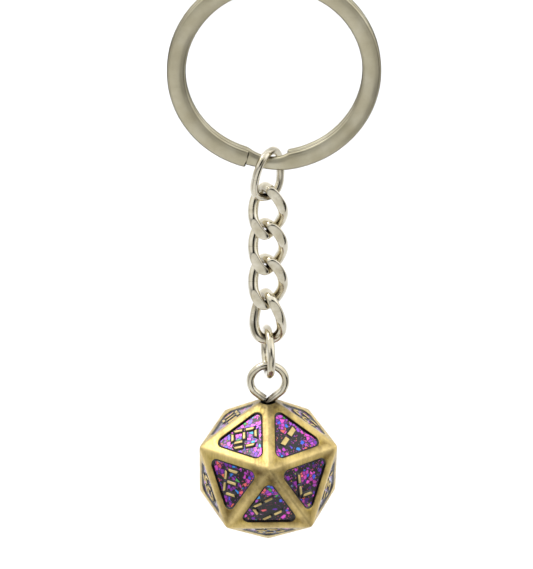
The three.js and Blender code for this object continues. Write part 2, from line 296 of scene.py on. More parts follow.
def split_ring():
    """Two turns of flat wire. The wire crosses from the front one to the back one at the neck."""
    neck_inner = RING_OUTER - NECK_WIDTH
    neck_angle = -math.pi / 2 + math.asin(CHAIN_X / neck_inner)
    middle = (RING_INNER + RING_OUTER) / 2
    neck_half = math.asin(NECK_LENGTH / 2 / middle)
    one_turn = 2 * math.pi - 2 * neck_half
    whole = 2 * math.pi + one_turn
    steps = 560
    chamfer = RING_CHAMFER / (whole * middle)
    stations = [0, chamfer] + [k / steps for k in range(1, steps)] + [1 - chamfer, 1]
    loops = []
    for t in stations:
        travelled = t * whole
        angle = neck_angle - neck_half - travelled
        crossed = min(max((travelled - one_turn) / (2 * math.pi - one_turn), 0), 1)
        crossed = crossed * crossed * (3 - 2 * crossed)
        depth = RING_STEP * (crossed - 0.5)
        inset = RING_CHAMFER if t in (0, 1) else 0
        offset = (angle - neck_angle + math.pi) % (2 * math.pi) - math.pi
        section = flat_wire_section(neck_reach(offset), RING_OUTER, RING_LAYER, inset)
        around = Vector((math.cos(angle), 0, math.sin(angle)))
        loops.append([RING_CENTRE + around * r + Vector((0, depth + d, 0)) for r, d in section])
    shape = bmesh.new()
    add_loops(shape, loops)
    outward(shape)
    finish_mesh("split_ring_wire", shape, [satin_nickel()], "ring", ["split_ring"])


# ---- curb links ----

# How far each link is turned about its length, at its bottom and at its top.
LINK_TURNS = {1: (34, 58), 2: (52, -62), 3: (50, -50), 4: (44, -50), 5: (5, -68)}


def twisted_oval(half_width, half_height, bottom_turn, top_turn):
    """The line that a link's wire follows: an oval that is twisted about its length."""
    steps = 220
    gap = SEAM / (2 * half_height)
    points = []
    for k in range(steps + 1):
        angle = math.pi + gap / 2 + (2 * math.pi - gap) * k / steps
        across = math.cos(angle)
        along = math.sin(angle)
        powered = abs(across / half_width) ** OVAL_POWER + abs(along / half_height) ** OVAL_POWER
        reach = powered ** (-1 / OVAL_POWER)
        x = reach * across
        z = reach * along
        share = (z / half_height + 1) / 2
        turn = math.radians(bottom_turn + (top_turn - bottom_turn) * share)
        points.append(Vector((x * math.cos(turn), x * math.sin(turn), z)))
    return points


def bright_wire(name, shape, nickel, body, node, places):
    """Makes a wire of bright nickel, darkened by dirt and painted shade near the places where other pieces
    hang.
    """
    outward(shape)
    piece = finish_mesh(name, shape, [nickel], body, [node], sharp_angle=60)
    grime_and_shade = piece.data.attributes.new("grime_and_shade", "FLOAT", "POINT")
    for i, vertex in enumerate(piece.data.vertices):
        nearest = min((vertex.co / MM - place).length for place in places)
        grime_and_shade.data[i].value = max(0, 1 - nearest / GRIME_AND_SHADE_REACH)


def bearing_points(centre, half_height, wire):
    """The inner top and the inner bottom of a link or a ring."""
    inside = Vector((0, 0, half_height - wire / 2))
    return [centre + inside, centre - inside]


def pressed(y, half_slab):
    """Pushes a depth back towards a slab, and leaves the pressed facet slightly domed."""
    excess = soft_max(abs(y) - half_slab + PRESS_DEPTH, 0, PRESS_SOFTNESS)
    return math.copysign(abs(y) - (1 - PRESS_DOME) * excess, y)


def end_link(nickel):
    """The first link is wider, of the fine wire, and its top leans to the right."""
    node = "curb_link_1"
    half_height = size_mm(node).z / 2 - FINE_WIRE / 2
    points = twisted_oval(END_LINK_HALF_WIDTH, half_height, *LINK_TURNS[1])
    shape = bmesh.new()
    add_loops(shape, round_wire(points, FINE_WIRE / 2, lambda point: point))
    lean = Matrix.Rotation(math.radians(END_LINK_LEAN), 4, "Y")
    centre = Vector((CHAIN_X, 0, middle_mm(node).z))
    bmesh.ops.transform(shape, matrix=Matrix.Translation(centre) @ lean, verts=shape.verts)
    places = bearing_points(centre, half_height, FINE_WIRE)
    bright_wire("curb_link_wire_1", shape, nickel, "link_1", node, places)


def curb_link(number, nickel):
    """One of the other four links, twisted and pressed flat between two plates."""
    node = f"curb_link_{number}"
    half_height = size_mm(node).z / 2 - LINK_WIRE / 2
    half_slab = size_mm(node).y / 2
    points = twisted_oval(LINK_HALF_WIDTH, half_height, *LINK_TURNS[number])
    loops = round_wire(points, LINK_WIRE / 2, lambda point: point, 40)
    shape = bmesh.new()
    add_loops(shape, [[Vector((p.x, pressed(p.y, half_slab), p.z)) for p in loop] for loop in loops])
    bmesh.ops.translate(shape, vec=middle_mm(node), verts=shape.verts)
    places = bearing_points(middle_mm(node), half_height, LINK_WIRE)
    bright_wire(f"curb_link_wire_{number}", shape, nickel, f"link_{number}", node, places)


# ---- jump ring and screw eye ----

def jump_ring(nickel):
    """A ring of the fine wire, bent shut."""
    centre = middle_mm("jump_ring")
    radius = size_mm("jump_ring").z / 2 - FINE_WIRE / 2
    gap = SEAM / radius
    steps = 150
    points = []
    for k in range(steps + 1):
        angle = math.radians(JUMP_SEAM) + gap / 2 + (2 * math.pi - gap) * k / steps
        points.append(Vector((0, -radius * math.cos(angle), radius * math.sin(angle))))
    shape = bmesh.new()
    add_loops(shape, round_wire(points, FINE_WIRE / 2, lambda point: point))
    turn = Matrix.Rotation(math.radians(JUMP_TURN), 4, "Z")
    bmesh.ops.transform(shape, matrix=Matrix.Translation(centre) @ turn, verts=shape.verts)
    places = bearing_points(centre, radius, FINE_WIRE)
    bright_wire("jump_ring_wire", shape, nickel, "jump", "jump_ring", places)


def smooth_line(points, steps):
    """A Catmull-Rom line through points, with this many steps between two of them."""
    ends = [2 * points[0] - points[1], *points, 2 * points[-1] - points[-2]]
    line = []
    for a, b, c, d in zip(ends, ends[1:], ends[2:], ends[3:]):
        for k in range(steps):
            t = k / steps
            squared = (2 * a - 5 * b + 4 * c - d) * t**2
            cubed = (3 * b - a - 3 * c + d) * t**3
            line.append(0.5 * (2 * b + (c - a) * t + squared + cubed))
    line.append(points[-1])
    return line


def screw_eye(nickel):
    """The wire runs from its cut end up round the loop, and down into the die."""
    low, high = box_mm("screw_eye")
    centre = Vector(((low.x + high.x) / 2, 0, high.z - (high.x - low.x) / 2))
    radius = (high.x - low.x) / 2 - FINE_WIRE / 2
    cut_end = Vector((-FINE_WIRE / 2, 0, 0.5 - EYE_DROP))
    bend = Vector((0.32, 0, 0.15 - EYE_DROP))
    shank_top = Vector((0, 0, -0.5 - EYE_DROP))
    shank_foot = Vector((0, 0, -EYE_DROP - EYE_SHANK))
    loop = []
    count = 15
    for k in range(count):
        angle = math.radians(270 - EYE_OPENING - (360 - 2 * EYE_OPENING) * k / (count - 1))
        loop.append(radius * Vector((math.cos(angle), 0, math.sin(angle))))
    line = smooth_line([cut_end, *loop, bend, shank_top, shank_foot], 10)
    shape = bmesh.new()
    front = Vector((0, -1, 0))
    add_loops(shape, round_wire(line, FINE_WIRE / 2, lambda point: front))
    bmesh.ops.translate(shape, vec=centre, verts=shape.verts)
    places = [*bearing_points(centre, radius, FINE_WIRE), centre - Vector((0, 0, EYE_DROP))]
    bright_wire("screw_eye_wire", shape, nickel, "die", "screw_eye", places)


# ---- numerals, drawn as seven bars ----

# How much shorter a bar's inner side is at its start and at its end.
LEVEL = (BAR_LEAN, BAR_LEAN)
FROM_OUTER_END = (BAR_LEAN, 0)
TO_OUTER_END = (0, BAR_LEAN)
SQUARE = (0, 0)


def bar(start, end, inward, lean, half_width):
    """A bar from start to end. Its side towards inward is shorter by lean at each end."""
    start, end, inward = Vector(start), Vector(end), Vector(inward)
    along = (end - start).normalized()
    return [
        start - inward * half_width - along * lean[0],
        end - inward * half_width + along * lean[1],
        end + inward * half_width - along * lean[1],
        start + inward * half_width + along * lean[0],
    ]


def segment(letter, w, h, s):
    """One of the seven bars of a digit of half width w, half height h and half stroke s."""
    flat = w - FLAT_BAR_SPACE
    post = h - POST_SPACE
    bars = {
        "a": ((-flat, h), (flat, h), (0, -1), LEVEL),
        "b": ((w, post), (w, POST_FOOT), (-1, 0), FROM_OUTER_END),
        "c": ((w, -POST_FOOT), (w, -post), (-1, 0), TO_OUTER_END),
        "d": ((-flat, -h), (flat, -h), (0, 1), LEVEL),
        "e": ((-w, -POST_FOOT), (-w, -post), (1, 0), TO_OUTER_END),
        "f": ((-w, post), (-w, POST_FOOT), (1, 0), FROM_OUTER_END),
        "g": ((-flat, 0), (flat, 0), (0, 1), SQUARE),
    }
    return bar(*bars[letter], s)


DIGIT_BARS = {
    "0": "abcdef",
    "1": "bc",
    "2": "abged",
    "3": "abcdg",
    "4": "bcfg",
    "5": "acdfg",
    "6": "acdefg",
    "7": "abc",
    "8": "abcdefg",
    "9": "abcdfg",
}


def digit_cells(number):
    """Each digit's middle x, half width, half height and half stroke, in a number on the die."""
    s = STROKE / 2
    h = NUMERAL_HEIGHT / 2
    if number == 1:
        return [(0.35, 0.1, h + 0.3, BOLD_STROKE / 2)]
    if number == 11:
        return [(-0.85, 0, h, s), (0.85, 0, h, s)]
    if number == 20:
        return [(-1, 0.62, h - 0.3, s), (1, 0.62, h - 0.3, s)]
    if number > 9:
        return [(-1.5, 0, h, s), (0.42, 1, h, s)]
    return [(0, 1.22, h, s)]


def numeral_bars(number):
    """Every bar of a number, as a polygon on its face."""
    polygons = []
    for digit, (x, w, h, s) in zip(str(number), digit_cells(number)):
        shift = Vector((x, NUMERAL_RISE))
        for letter in DIGIT_BARS[digit]:
            polygons.append([corner + shift for corner in segment(letter, w, h, s)])
    if number in (6, 9):
        _, w, h, s = digit_cells(number)[0]
        y = NUMERAL_RISE - h - UNDERLINE_DROP
        flat = w - FLAT_BAR_SPACE
        polygons.append(bar((-flat, y), (flat, y), (0, 1), SQUARE, 0.75 * s))
    return polygons


def widened(polygon, grow):
    """A convex polygon with all its sides moved out by grow."""
    moved = []
    for i, corner in enumerate(polygon):
        arriving = (corner - polygon[i - 1]).normalized()
        leaving = (polygon[(i + 1) % len(polygon)] - corner).normalized()
        reach = grow / abs(arriving.cross(leaving))
        moved.append(corner + (arriving - leaving) * reach)
    return moved


# ---- die ----

def die_corners():
    """The top, the bottom and five corners each on an upper and a lower belt, u0 at the front."""
    corners = {"top": Vector((0, 0, DIE_RADIUS)), "bottom": Vector((0, 0, -DIE_RADIUS))}
    belt_z = DIE_RADIUS / math.sqrt(5)
    for i in range(5):
        upper = 2 * math.pi * i / 5
        lower = upper + math.pi / 5
        corners[f"u{i}"] = Vector((2 * belt_z * math.sin(upper), -2 * belt_z * math.cos(upper), belt_z))
        corners[f"d{i}"] = Vector((2 * belt_z * math.sin(lower), -2 * belt_z * math.cos(lower), -belt_z))
    return corners


# The number on each face and its three corners. The numeral's top is towards the first one.
FACES = {
    1: ("u0", "top", "u1"),
    2: ("bottom", "d1", "d2"),
    3: ("d4", "u0", "u4"),
    4: ("d2", "u3", "u2"),
    5: ("d1", "u2", "u1"),
    6: ("d3", "u3", "u4"),
    7: ("d0", "u0", "u1"),
    8: ("bottom", "d3", "d4"),
    9: ("u3", "top", "u4"),
    10: ("d0", "bottom", "d4"),
    11: ("top", "u2", "u3"),
    12: ("d0", "bottom", "d1"),
    13: ("u1", "top", "u2"),
    14: ("u3", "d2", "d3"),
    15: ("u1", "d0", "d1"),
    16: ("u4", "d4", "d3"),
    17: ("d4", "u0", "d0"),
    18: ("u2", "d2", "d1"),
    19: ("u4", "top", "u0"),
    20: ("d3", "bottom", "d2"),
}
CORNERS = die_corners()


def face_matrix(number):
    """From a face's own coordinates, with Z outwards and Y to its first corner, to the die's."""
    first, second, third = (CORNERS[name] for name in FACES[number])
    centre = (first + second + third) / 3
    out = centre.normalized()
    up = (first - centre).normalized()
    right = up.cross(out)
    return Matrix.Translation(centre) @ Matrix((right, up, out)).transposed().to_4x4()


FACE_MATRICES = {number: face_matrix(number) for number in FACES}
FACE_NORMALS = [matrix.col[2].xyz.normalized() for matrix in FACE_MATRICES.values()]


def triangle_reach(direction, inradius, corner):
    """How far a triangle with rounded corners reaches from its middle in a direction."""
    off_corner = (direction - math.pi / 2 + math.pi / 3) % (2 * math.pi / 3) - math.pi / 3
    arc_distance = 2 * (inradius - corner)
    arc_ends = math.atan2(corner * math.sin(math.pi / 3), arc_distance + corner / 2)
    if abs(off_corner) > arc_ends or corner <= 0:
        return inradius / math.cos(math.pi / 3 - abs(off_corner))
    across = arc_distance * math.sin(off_corner)
    return arc_distance * math.cos(off_corner) + math.sqrt(corner**2 - across**2)


# The directions of a loop's points from its middle: 36 to a side, and one at each corner.
DIRECTIONS = [math.pi / 2 + 2 * math.pi * k / 108 for k in range(108)]


def triangle_loop(inradius, corner, height):
    return [
        Vector((math.cos(a), math.sin(a), 0)) * triangle_reach(a, inradius, corner) + Vector((0, 0, height))
        for a in DIRECTIONS
    ]


def pocket_loop(offset, height):
    """The outline of a pocket, moved outwards by offset, at a height from the face."""
    return triangle_loop(POCKET_INRADIUS + offset, POCKET_CORNER + offset, height)


def inner_icosahedron():
    """The core that is RIDGE_RADIUS inside the die on every side."""
    share = 1 - RIDGE_RADIUS / FACE_HEIGHT
    names = list(CORNERS)
    points = [CORNERS[name] * share for name in names]
    return BVHTree.FromPolygons(points, [[names.index(name) for name in face] for face in FACES.values()])


def rounded(point, core):
    """Moves a point of the sharp die to the surface with rounded ridges and corners."""
    nearest = core.find_nearest(point)[0]
    return nearest + (point - nearest).normalized() * RIDGE_RADIUS


def blend_loops(first, second, share):
    return [a.lerp(b, share) for a, b in zip(first, second)]


# Where the rows of points lie between a pocket and the ridges, closer where it bends.
BORDER_SHARES = (0, 0.15, 0.3, 0.45, 0.55, 0.64, 0.73, 0.82, 0.91, 1)


def casting_face(shape, number, core):
    """One face of the casting: the pocket's floor, its wall, its soft rim and the border."""
    matrix = FACE_MATRICES[number]
    loops = [pocket_loop(0, depth) for depth in (-POCKET_DEPTH, -POCKET_DEPTH / 2, -POCKET_RIM)]
    for turn in (30, 60):
        bend = math.radians(turn)
        loops.append(pocket_loop(POCKET_RIM * (1 - math.cos(bend)), -POCKET_RIM * (1 - math.sin(bend))))
    rim = pocket_loop(POCKET_RIM, 0)
    outer = triangle_loop(FACE_INRADIUS, 0, 0)
    border = [blend_loops(rim, outer, share) for share in BORDER_SHARES]
    placed = [[matrix @ point for point in loop] for loop in loops]
    placed += [[rounded(matrix @ point, core) for point in loop] for loop in border]
    rows = add_rows(shape, placed)
    add_fan(shape, list(reversed(rows[0])), matrix @ Vector((0, 0, -POCKET_DEPTH)))


def lathe(profile, sides=64):
    """A turned solid from (radius, height) pairs, lowest first."""
    shape = bmesh.new()
    turns = [2 * math.pi * k / sides for k in range(sides)]
    loops = []
    for radius, height in profile:
        loops.append([Vector((radius * math.cos(a), radius * math.sin(a), height)) for a in turns])
    add_loops(shape, loops)
    outward(shape)
    return shape


def cut(shape, tool):
    """The first bmesh with the second one cut away."""
    objects = []
    for name, part in (("kept", shape), ("tool", tool)):
        mesh = bpy.data.meshes.new(name)
        part.to_mesh(mesh)
        part.free()
        objects.append(bpy.data.objects.new(name, mesh))
        bpy.context.scene.collection.objects.link(objects[-1])
    kept, cutter = objects
    modifier = kept.modifiers.new("cut", "BOOLEAN")
    modifier.operation = "DIFFERENCE"
    modifier.solver = "EXACT"
    modifier.object = cutter
    evaluated = kept.evaluated_get(bpy.context.evaluated_depsgraph_get())
    result = bmesh.new()
    result.from_mesh(evaluated.data)
    for item in objects:
        mesh = item.data
        bpy.data.objects.remove(item)
        bpy.data.meshes.remove(mesh)
    return result


def top_tool():
    """The cutter for the bore, its worn mouth, and all that is above the flat on top."""
    flat = DIE_RADIUS - TOP_FLAT
    outside = 4 * BORE_RADIUS
    return lathe([
        (BORE_RADIUS, flat - BORE_DEPTH),
        (BORE_RADIUS, flat - 1.2 * BORE_MOUTH),
        (BORE_RADIUS + 0.3 * BORE_MOUTH, flat - 0.5 * BORE_MOUTH),
        (BORE_RADIUS + BORE_MOUTH, flat),
        (outside, flat + 0.5 * BORE_MOUTH),
        (outside, DIE_RADIUS + 1),
    ])


def add_numerals(shape):
    """The bars of every numeral, which stand on the pockets' floors."""
    bars = bmesh.new()
    heights = (-POCKET_DEPTH - BAR_ROOT, 0)
    for number, matrix in FACE_MATRICES.items():
        for polygon in numeral_bars(number):
            add_loops(bars, [[matrix @ Vector((*corner, z)) for corner in polygon] for z in heights])
    outward(bars)
    bmesh.ops.bevel(bars, geom=bars.edges[:], offset=BAR_BEVEL, segments=3, profile=0.5, affect="EDGES")
    mesh = bpy.data.meshes.new("bars")
    bars.to_mesh(mesh)
    bars.free()
    shape.from_mesh(mesh)
    bpy.data.meshes.remove(mesh)


RIDGE_REACH = 0.75       # the wear on a ridge fades out where its two faces are this far apart
BAR_WEAR = 0.9           # the numerals are worn nearly as much as the ridges
SOCKET_REACH = 3.2       # the dirt and painted shadow round the bore fade out this far from it


def add_masks(piece, core, first_bar):
    """Stores where the casting is sunk, worn, and dirty with painted shadow round the bore, for its
    material.

    depth is the height above the rounded surface, in millimetres. ridge is 1 on a ridge, and
    socket is 1 at the bore. The vertices from first_bar on belong to the numerals.
    """
    depth = piece.data.attributes.new("depth", "FLOAT", "POINT")
    ridge = piece.data.attributes.new("ridge", "FLOAT", "POINT")
    socket = piece.data.attributes.new("socket", "FLOAT", "POINT")
    for i, vertex in enumerate(piece.data.vertices):
        point = vertex.co / MM - DIE_CENTRE
        heights = sorted((point.dot(normal) for normal in FACE_NORMALS), reverse=True)
        inside_core = heights[0] <= FACE_HEIGHT - RIDGE_RADIUS
        from_core = 0 if inside_core else (point - core.find_nearest(point)[0]).length
        depth.data[i].value = from_core - RIDGE_RADIUS
        fading = (heights[0] - heights[1]) / RIDGE_REACH
        ridge.data[i].value = BAR_WEAR if i >= first_bar else max(0, 1 - fading)
        from_bore = max(math.hypot(point.x, point.y) - BORE_RADIUS, 0)
        socket.data[i].value = max(0, 1 - from_bore / SOCKET_REACH) if point.z > 0 else 0


def die_casting():
    """The brass body with its pockets and numerals, flat on top and bored for the screw eye."""
    core = inner_icosahedron()
    shape = bmesh.new()
    for number in FACES:
        casting_face(shape, number, core)
    bmesh.ops.remove_doubles(shape, verts=shape.verts, dist=0.002)
    outward(shape)
    shape = cut(shape, top_tool())
    first_bar = len(shape.verts)
    add_numerals(shape)
    bmesh.ops.translate(shape, vec=DIE_CENTRE, verts=shape.verts)
    piece = finish_mesh("die_casting", shape, [antique_brass()], "die", ["die_body"])
    add_masks(piece, core, first_bar)
    weighted = piece.modifiers.new("flat faces", "WEIGHTED_NORMAL")
    weighted.keep_sharp = True


# ---- resin ----

BARE_FACE = 17           # few flakes have settled in the middle of this face


def resin_height(point, number):
    """The slightly wavy surface of the resin."""
    wave = math.sin(2.1 * point.x + number) * math.cos(1.7 * point.y - 2 * number)
    return RESIN_LEVEL + RESIN_WAVE * wave


def resin_fill(shape, number):
    """The poured resin: a slab that fills the pocket up to its surface."""
    foot = -POCKET_DEPTH + 2 * RESIN_GAP
    loops = [pocket_loop(-RESIN_GAP, foot), pocket_loop(-RESIN_GAP, RESIN_LEVEL + RESIN_CLIMB)]
    surface = [pocket_loop(offset, 0) for offset in (-0.1, -0.25, -0.5, -0.8)]
    surface += [[point * share for point in surface[-1]] for share in (0.65, 0.35)]
    loops += [[Vector((p.x, p.y, resin_height(p, number))) for p in loop] for loop in surface]
    rows = add_rows(shape, loops)
    add_fan(shape, rows[-1], Vector((0, 0, resin_height(Vector((0, 0, 0)), number))))
    add_fan(shape, list(reversed(rows[0])), Vector((0, 0, foot)))


def residue(shape, number):
    """Black lacquer and painted shadow in the corners: a slope round the pocket's wall and one round each
    bar.
    """
    sunk = RESIN_LEVEL - LACQUER_AND_SHADOW_SINK
    wall = [
        pocket_loop(0, -0.05),
        pocket_loop(-0.6 * LACQUER_AND_SHADOW, 0.62 * RESIN_LEVEL),
        pocket_loop(-LACQUER_AND_SHADOW, RESIN_LEVEL),
        pocket_loop(-LACQUER_AND_SHADOW, sunk),
        pocket_loop(0, sunk),
    ]
    add_loops(shape, wall, closed=True, material_index=1)
    # a black slope round each bar: partly lacquer, partly painted shadow
    for polygon in numeral_bars(number):
        slope = [
            (0.9 * LACQUER_AND_SHADOW, sunk),
            (0.9 * LACQUER_AND_SHADOW, RESIN_LEVEL),
            (0.35 * LACQUER_AND_SHADOW, 0.7 * RESIN_LEVEL),
            (0.02, -0.07),
        ]
        loops = [[Vector((*corner, z)) for corner in widened(polygon, grow)] for grow, z in slope]
        add_loops(shape, loops, material_index=1)


def resin(number, materials):
    """The fill of one pocket, with the resin in the first material and the black in the second."""
    shape = bmesh.new()
    resin_fill(shape, number)
    residue(shape, number)
    outward(shape)
    placed = Matrix.Translation(DIE_CENTRE) @ FACE_MATRICES[number]
    bmesh.ops.transform(shape, matrix=placed, verts=shape.verts)
    node = f"inlay_{number:02d}"
    finish_mesh(f"resin_{number:02d}", shape, materials, "die", [node], sharp_angle=50)


# ---- node trees ----

class Nodes:
    """Adds nodes to a tree and links them."""

    def __init__(self, tree):
        self.tree = tree
        self.nodes = tree.nodes

    def connect(self, socket, value):
        """Links a socket to the output of a node, or sets its value."""
        if isinstance(value, bpy.types.NodeSocket):
            self.tree.links.new(value, socket)
        else:
            socket.default_value = value

    def add(self, kind, inputs, output=0, **settings):
        """Adds a node, sets or links its inputs, and gives back one of its outputs."""
        node = self.nodes.new(kind)
        for name, value in settings.items():
            setattr(node, name, value)
        for key, value in inputs.items():
            self.connect(node.inputs[key], value)
        return node.outputs[output]

    def ranged(self, value, low, high, out_low=0.0, out_high=1.0):
        """Maps low..high to out_low..out_high, and clamps."""
        inputs = {"Value": value, "From Min": low, "From Max": high, "To Min": out_low, "To Max": out_high}
        return self.add("ShaderNodeMapRange", inputs)

    def math(self, operation, a, b):
        return self.add("ShaderNodeMath", {0: a, 1: b}, operation=operation)

    def sum(self, first, *others):
        for other in others:
            first = self.math("ADD", first, other)
        return first

    def product(self, first, *others):
        for other in others:
            first = self.math("MULTIPLY", first, other)
        return first

    def vector(self, operation, inputs, output=0):
        return self.add("ShaderNodeVectorMath", inputs, output, operation=operation)


# ---- materials ----

class Shader(Nodes):
    """A node material with one Principled shader."""

    def __init__(self, name):
        self.material = bpy.data.materials.new(name)
        self.material.use_nodes = True
        super().__init__(self.material.node_tree)
        self.principled = self.nodes["Principled BSDF"]

    def set(self, **values):
        """Sets or links the Principled shader's sockets; an underscore stands for a space."""
        for name, value in values.items():
            self.connect(self.principled.inputs[name.replace("_", " ")], value)

    def place(self):
        return self.add("ShaderNodeTexCoord", {}, "Object")

    def noise(self, scale, detail, roughness, stretch=None):
        """Noise with about scale lumps to a millimetre, more of them where stretch is above 1."""
        place = self.place()
        if stretch:
            place = self.add("ShaderNodeMapping", {"Vector": place, "Scale": stretch})
        inputs = {"Vector": place, "Scale": scale / MM, "Detail": detail, "Roughness": roughness}
        return self.add("ShaderNodeTexNoise", inputs, "Fac")

    def near(self, centre, inner, outer):
        """1 within inner mm of a centre, falling to 0 at outer mm."""
        away = self.vector("DISTANCE", {0: self.place(), 1: centre * MM}, 1)
        return self.ranged(away, inner * MM, outer * MM, 1, 0)

    def attribute(self, name):
        return self.add("ShaderNodeAttribute", {}, "Fac", attribute_name=name)

    def mix(self, factor, a, b):
        node = self.nodes.new("ShaderNodeMix")
        node.data_type = "RGBA"
        self.connect(node.inputs[0], factor)
        self.connect(node.inputs[6], a)
        self.connect(node.inputs[7], b)
        return node.outputs[2]

    def ramp(self, value, stops):
        """A colour from a value, through (position, colour) stops."""
        node = self.nodes.new("ShaderNodeValToRGB")
        elements = node.color_ramp.elements
        while len(elements) < len(stops):
            elements.new(0.5)
        for element, (position, color) in zip(elements, stops):
            element.position = position
            element.color = color
        self.connect(node.inputs[0], value)
        return node.outputs[0]

    def bump(self, height, distance, normal=None):
        """A normal from a height that is worth distance mm, over another normal."""
        inputs = {"Height": height, "Distance": distance * MM}
        if normal:
            inputs["Normal"] = normal
        return self.add("ShaderNodeBump", inputs)


def rgb(red, green, blue):
    """A colour from its screen values, 0 to 255, as the shader wants it."""
    channels = [value / 255 for value in (red, green, blue)]
    return [c / 12.92 if c <= 0.04045 else ((c + 0.055) / 1.055) ** 2.4 for c in channels] + [1]


def brass_colour(shader, cloud, brush, sunk):
    """Cloudy brass, bright where it is worn, brown round the bore with dirt and painted shadow, a painted
    brown-dark shade below the front corner, and black in the recesses.
    """
    patina = shader.noise(0.16, 3, 0.5)
    base = shader.ramp(shader.sum(shader.product(patina, 0.65), shader.product(cloud, 0.35)), [
        (0.39, rgb(126, 102, 54)),
        (0.46, rgb(172, 147, 80)),
        (0.53, rgb(207, 181, 101)),
        (0.62, rgb(230, 205, 120)),
    ])
    base = shader.mix(shader.ranged(brush, 0.45, 0.68, 0, 0.42), base, rgb(118, 96, 56))
    wear = shader.product(shader.attribute("ridge"), shader.ranged(cloud, 0.3, 0.6, 0.5, 1.0))
    base = shader.mix(wear, base, rgb(240, 216, 150))
    # painted shade: a brown-dark patch that darkens the faces below the front corner
    below_front_corner = DIE_CENTRE + Vector((0, -0.83, 0.2)) * DIE_RADIUS
    tarnish_and_shade = shader.near(below_front_corner, 1.2, 5.2)
    tarnish_and_shade = shader.product(tarnish_and_shade, shader.ranged(cloud, 0.35, 0.6, 1.0, 0.5), 0.85)
    base = shader.mix(tarnish_and_shade, base, rgb(84, 69, 41))
    # dirt round the bore, with the shadow under the screw eye painted in too
    socket = shader.product(shader.attribute("socket"), shader.ranged(cloud, 0.3, 0.65, 1.1, 0.55))
    base = shader.mix(socket, base, rgb(52, 40, 28))
    return shader.mix(sunk, base, rgb(14, 11, 10))


def antique_brass():
    """Worn brass: brushed and bright on the ridges, cloudy on the flats, black in the recesses."""
    shader = Shader("antique_brass")
    cloud = shader.noise(0.6, 6, 0.62)
    brush = shader.noise(3.2, 5, 0.6, (1.0, 0.35, 0.14))
    speck = shader.noise(9.0, 3, 0.6)
    sunk = shader.ranged(shader.attribute("depth"), -0.03, -0.16)
    rough = shader.sum(
        shader.ranged(brush, 0.3, 0.75, 0.24, 0.42),
        shader.ranged(speck, 0.5, 0.8, 0, 0.12),
        shader.product(shader.attribute("ridge"), 0.18),
        shader.product(sunk, 0.3),
    )
    shader.set(
        Base_Color=brass_colour(shader, cloud, brush, sunk),
        Roughness=rough,
        Metallic=shader.ranged(sunk, 0, 1, 1, 0.2),
        Normal=shader.bump(cloud, 0.05, shader.bump(brush, 0.012)),
        Coat_Weight=shader.ranged(sunk, 0, 1, 0.12, 0.9),
        Coat_Roughness=0.15,
    )
    return shader.material


def satin_nickel():
    """Satin nickel plate: fine lines round the wire, a few handling marks, and a soft unevenness."""
    shader = Shader("satin_nickel")
    swell = shader.noise(0.11, 2, 0.5)
    cloud = shader.noise(0.3, 5, 0.55)
    brush = shader.noise(4.5, 6, 0.65, (0.6, 1.4, 0.6))
    scratch = shader.noise(1.6, 8, 0.75, (0.12, 1.0, 1.9))
    base = shader.ramp(cloud, [
        (0.3, rgb(188, 180, 152)),
        (0.5, rgb(198, 191, 165)),
        (0.7, rgb(208, 202, 179)),
    ])
    base = shader.mix(shader.ranged(scratch, 0.58, 0.78, 0, 0.25), base, rgb(140, 130, 104))
    rough = shader.sum(
        shader.ranged(brush, 0.3, 0.7, 0.28, 0.36),
        shader.ranged(scratch, 0.55, 0.75, 0, 0.1),
    )
    marks = shader.bump(scratch, 0.008, shader.bump(brush, 0.002))
    shader.set(Base_Color=base, Metallic=1.0, Roughness=rough, Normal=shader.bump(swell, 0.5, marks))
    return shader.material


def bright_nickel():
    """Polished nickel plate, warm and a little uneven, with faint tarnish, and grime with painted shade in
    the joints.
    """
    shader = Shader("bright_nickel")
    cloud = shader.noise(0.5, 4, 0.5)
    tarnish_and_shade = shader.noise(1.1, 6, 0.65)
    fine = shader.noise(7.0, 4, 0.6)
    base = shader.ramp(cloud, [
        (0.32, rgb(206, 197, 172)),
        (0.55, rgb(224, 217, 197)),
        (0.75, rgb(236, 230, 213)),
    ])
    base = shader.mix(shader.ranged(tarnish_and_shade, 0.58, 0.8, 0, 0.4), base, rgb(146, 126, 100))
    # painted shade between the pieces where they touch, partly real grime
    grime_and_shade = shader.product(shader.attribute("grime_and_shade"), shader.ranged(tarnish_and_shade, 0.3, 0.6, 0.8, 1.7))
    base = shader.mix(grime_and_shade, base, rgb(84, 70, 54))
    rough = shader.sum(
        shader.ranged(fine, 0.3, 0.7, 0.04, 0.1),
        shader.ranged(tarnish_and_shade, 0.5, 0.75, 0, 0.12),
    )
    uneven = shader.bump(cloud, 0.05, shader.bump(fine, 0.004))
    shader.set(Base_Color=base, Metallic=1.0, Roughness=rough, Normal=uneven)
    return shader.material


def flakes(shader, size, offset):
    """A layer of flat flakes about size mm across: their mask and a random colour for each one."""
    place = shader.vector("ADD", {0: shader.place(), 1: (offset * MM,) * 3})
    inputs = {"Vector": place, "Scale": 1 / (size * MM), "Randomness": 1.0}
    random = shader.add("ShaderNodeTexVoronoi", inputs, "Color", feature="F1")
    edge = shader.add("ShaderNodeTexVoronoi", inputs, "Distance", feature="DISTANCE_TO_EDGE")
    return shader.ranged(edge, 0.01, 0.16), random


def channel(shader, color, name):
    return shader.add("ShaderNodeSeparateColor", {0: color}, name)


